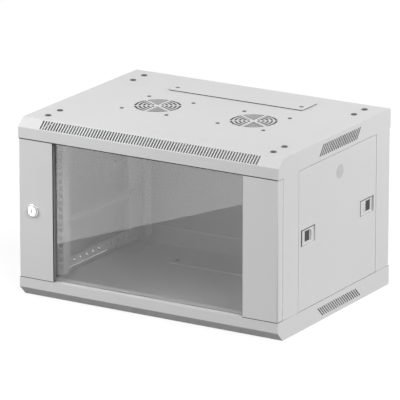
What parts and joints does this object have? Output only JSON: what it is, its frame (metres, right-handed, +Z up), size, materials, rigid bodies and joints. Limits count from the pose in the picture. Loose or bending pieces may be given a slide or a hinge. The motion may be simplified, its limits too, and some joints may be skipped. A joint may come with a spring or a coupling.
{
  "type": "wall mount network cabinet",
  "caption": "Wall cabinet for 19-inch equipment, with a glass door in sheet-metal strips, a keyed cam lock, vented cover and base, and removable side panels with slide latches.",
  "frame": {"origin": "middle of the base's underside", "axes": "+X to the right seen from the door, +Y from the door to the wall, +Z up"},
  "size_m": [0.6, 0.4565, 0.3728],
  "materials": {
    "body_paint": "satin light grey powder coat",
    "rail_paint": "satin light grey powder coat",
    "latch_paint": "satin light grey powder coat",
    "glass": "clear polished, grey tint",
    "gasket": "matt black",
    "plug_plastic": "matt light grey",
    "grip_plastic": "matt black",
    "lock_chrome": "polished",
    "zinc": "bright zinc"
  },
  "bodies": {
    "cabinet": {"base_pan": "body_paint", "cable_cover_bottom": "body_paint", "cable_cover_top": "body_paint", "cable_seal_bottom": "gasket", "cable_seal_top": "gasket", "post_front_left": "body_paint", "post_front_right": "body_paint", "post_rear_left": "body_paint", "post_rear_right": "body_paint", "rail_front_left": "rail_paint", "rail_front_right": "rail_paint", "rail_rear_left": "rail_paint", "rail_rear_right": "rail_paint", "rail_tie_left": "rail_paint", "rail_tie_right": "rail_paint", "rear_panel": "body_paint", "strut_low_left": "rail_paint", "strut_low_right": "rail_paint", "strut_mid_left": "rail_paint", "strut_mid_right": "rail_paint", "strut_top_left": "rail_paint", "strut_top_right": "rail_paint", "top_cover": "body_paint"},
    "door": {"door_strip_left": "body_paint", "door_strip_right": "body_paint", "door_glass": "glass", "glass_gasket_left": "gasket", "glass_gasket_right": "gasket", "hinge_bracket_top": "zinc", "hinge_bracket_bottom": "zinc", "hinge_pin_bottom": "zinc", "lock_body": "lock_chrome", "lock_nut": "zinc"},
    "door_top_pin": {"hinge_pin_top": "zinc"},
    "lock_core": {"lock_plug": "lock_chrome", "lock_cam": "zinc"},
    "panel_left": {"side_panel_left": "body_paint", "panel_plug_left": "plug_plastic", "latch_pocket_front_left": "latch_paint", "latch_pocket_rear_left": "latch_paint"},
    "panel_right": {"side_panel_right": "body_paint", "panel_plug_right": "plug_plastic", "latch_pocket_front_right": "latch_paint", "latch_pocket_rear_right": "latch_paint"},
    "latch_front_left": {"latch_slider_front_left": "latch_paint", "latch_grip_front_left": "grip_plastic"},
    "latch_rear_left": {"latch_slider_rear_left": "latch_paint", "latch_grip_rear_left": "grip_plastic"},
    "latch_front_right": {"latch_slider_front_right": "latch_paint", "latch_grip_front_right": "grip_plastic"},
    "latch_rear_right": {"latch_slider_rear_right": "latch_paint", "latch_grip_rear_right": "grip_plastic"}
  },
  "joints": [
    {"name": "door_hinge", "type": "hinge", "parent": "cabinet", "child": "door", "pos_m": [0.2935, -0.219, 0.185], "axis": [0, 0, 1], "range_deg": [0, 180]},
    {"name": "door_pin_slide", "type": "slide", "parent": "door", "child": "door_top_pin", "axis": [0, 0, -1], "range_m": [0, 0.007], "stiffness_N_per_m": 400, "springref_m": -0.004},
    {"name": "lock_turn", "type": "hinge", "parent": "door", "child": "lock_core", "pos_m": [-0.2665, -0.2, 0.1835], "axis": [0, -1, 0], "range_deg": [0, 90]},
    {"name": "panel_left_slide", "type": "slide", "parent": "cabinet", "child": "panel_left", "axis": [-1, 0, 0], "range_m": [0, 0.06]},
    {"name": "latch_front_left_slide", "type": "slide", "parent": "panel_left", "child": "latch_front_left", "axis": [0, -1, 0], "range_m": [0, 0.008]},
    {"name": "latch_rear_left_slide", "type": "slide", "parent": "panel_left", "child": "latch_rear_left", "axis": [0, 1, 0], "range_m": [0, 0.008]},
    {"name": "panel_right_slide", "type": "slide", "parent": "cabinet", "child": "panel_right", "axis": [1, 0, 0], "range_m": [0, 0.06]},
    {"name": "latch_front_right_slide", "type": "slide", "parent": "panel_right", "child": "latch_front_right", "axis": [0, -1, 0], "range_m": [0, 0.008]},
    {"name": "latch_rear_right_slide", "type": "slide", "parent": "panel_right", "child": "latch_rear_right", "axis": [0, 1, 0], "range_m": [0, 0.008]}
  ]
}
